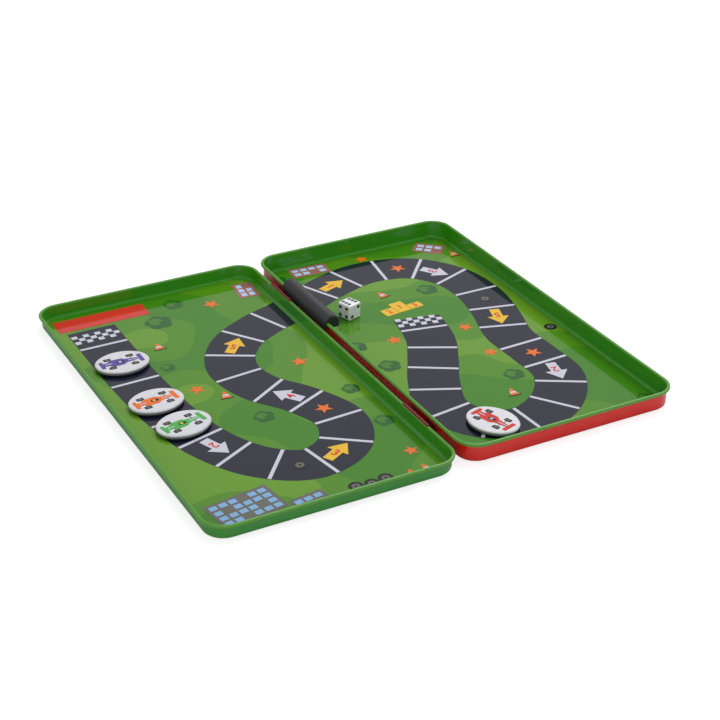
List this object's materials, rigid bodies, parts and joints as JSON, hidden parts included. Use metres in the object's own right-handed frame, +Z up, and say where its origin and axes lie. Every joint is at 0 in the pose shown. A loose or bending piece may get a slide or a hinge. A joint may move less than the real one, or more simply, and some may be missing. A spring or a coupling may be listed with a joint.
{
  "type": "magnetic travel racing game",
  "caption": "Flat hinged tin that opens into a two-tray magnetic race board, with oval magnetic playing pieces, a die and a slip-on rim bar.",
  "frame": {"origin": "on the table under the middle of the open game", "axes": "+X from the lid tray to the base tray, +Y along the hinge line to the back, +Z up"},
  "size_m": [0.2164, 0.204, 0.0122],
  "materials": {
    "base_tin": "red printed tin plate outside, green printed rim and race board inside, gloss varnish",
    "lid_tin": "green printed tin plate with a race board inside, gloss varnish",
    "hinge_steel": "plain tinned steel",
    "black_plastic": "moulded, satin",
    "white_plastic": "moulded, polished",
    "black_ink": "filled pips",
    "magnet": "flexible magnet sheet, matt",
    "token_white": "moulded, satin",
    "print_purple": "printed face with a purple car",
    "print_orange": "printed face with an orange car",
    "print_green": "printed face with a green car",
    "print_red": "printed face with a red car"
  },
  "bodies": {
    "base": {"base_tray": "base_tin", "base_hinge_leaf_back": "hinge_steel", "base_hinge_leaf_front": "hinge_steel"},
    "lid": {"lid_tray": "lid_tin", "lid_hinge_leaf_back": "hinge_steel", "lid_hinge_leaf_front": "hinge_steel", "hinge_pin_back": "hinge_steel", "hinge_pin_front": "hinge_steel"},
    "rim_bar": {"rim_clip": "black_plastic"},
    "die": {"die_body": "white_plastic", "die_pips": "black_ink"},
    "piece_purple": {"token_magnet_purple": "magnet", "token_body_purple": "token_white", "token_label_purple": "print_purple"},
    "piece_orange": {"token_magnet_orange": "magnet", "token_body_orange": "token_white", "token_label_orange": "print_orange"},
    "piece_green": {"token_magnet_green": "magnet", "token_body_green": "token_white", "token_label_green": "print_green"},
    "piece_red": {"token_magnet_red": "magnet", "token_body_red": "token_white", "token_label_red": "print_red"}
  },
  "joints": [
    {"name": "lid_fold", "type": "hinge", "parent": "base", "child": "lid", "pos_m": [0.001, 0, 0.0065], "axis": [0, -1, 0], "range_deg": [-180, 0]},
    {"name": "rim_bar_lift", "type": "slide", "parent": "base", "child": "rim_bar", "axis": [0, 0, 1], "range_m": [0, 0.008]},
    {"name": "die_lift", "type": "slide", "parent": "base", "child": "die", "axis": [0, 0, 1], "range_m": [0, 0.015]},
    {"name": "piece_purple_lift", "type": "slide", "parent": "lid", "child": "piece_purple", "axis": [0, 0, 1], "range_m": [0, 0.012]},
    {"name": "piece_orange_lift", "type": "slide", "parent": "lid", "child": "piece_orange", "axis": [0, 0, 1], "range_m": [0, 0.012]},
    {"name": "piece_green_lift", "type": "slide", "parent": "lid", "child": "piece_green", "axis": [0, 0, 1], "range_m": [0, 0.012]},
    {"name": "piece_red_lift", "type": "slide", "parent": "base", "child": "piece_red", "axis": [0, 0, 1], "range_m": [0, 0.012]}
  ]
}
